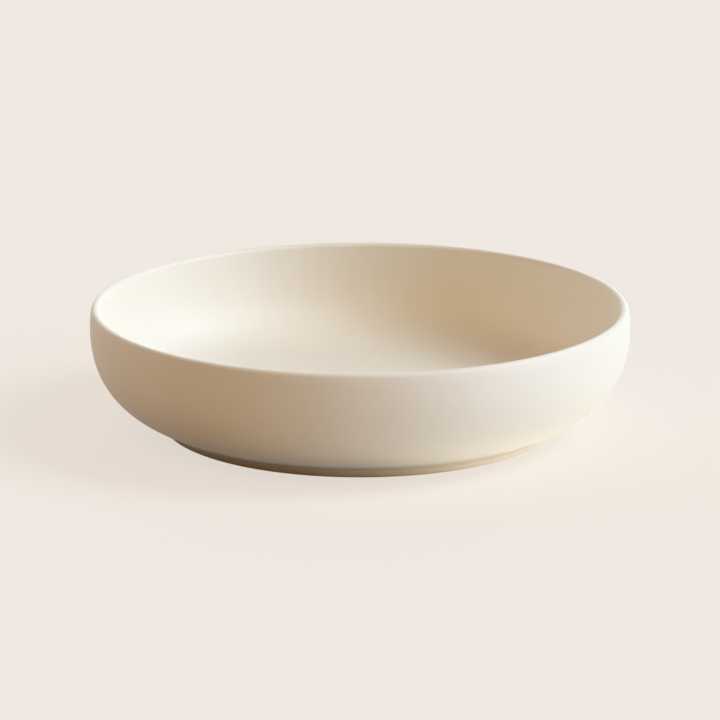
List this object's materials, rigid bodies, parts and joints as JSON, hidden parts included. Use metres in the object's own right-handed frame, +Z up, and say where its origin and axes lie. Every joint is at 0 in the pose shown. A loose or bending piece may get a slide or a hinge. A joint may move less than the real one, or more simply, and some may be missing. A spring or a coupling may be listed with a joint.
{
  "type": "low bowl",
  "caption": "Wide shallow table bowl in cream satin-matte glazed stoneware, with a rounded wall, a round lip and a low bare foot ring.",
  "frame": {"origin": "middle of the circle on which the foot ring stands, on the table's surface", "axes": "+Z up along the axis of revolution; the bowl is round, so +X and +Y are any two level directions"},
  "size_m": [0.22, 0.22, 0.05],
  "materials": {
    "clay": "fired buff stoneware, under the glaze",
    "bare_clay": "bare fired buff stoneware, fine grained and matte",
    "slip": "fired slip, matte",
    "inside_glaze": "cream satin-matte glaze",
    "outside_glaze": "cream satin-matte glaze",
    "base_glaze": "cream satin-matte glaze"
  },
  "bodies": {
    "root": {"stoneware_body": "clay", "foot_ring": "bare_clay", "luting_slip": "slip", "inside_glaze": "inside_glaze", "outside_glaze": "outside_glaze", "base_glaze": "base_glaze"}
  },
  "joints": []
}
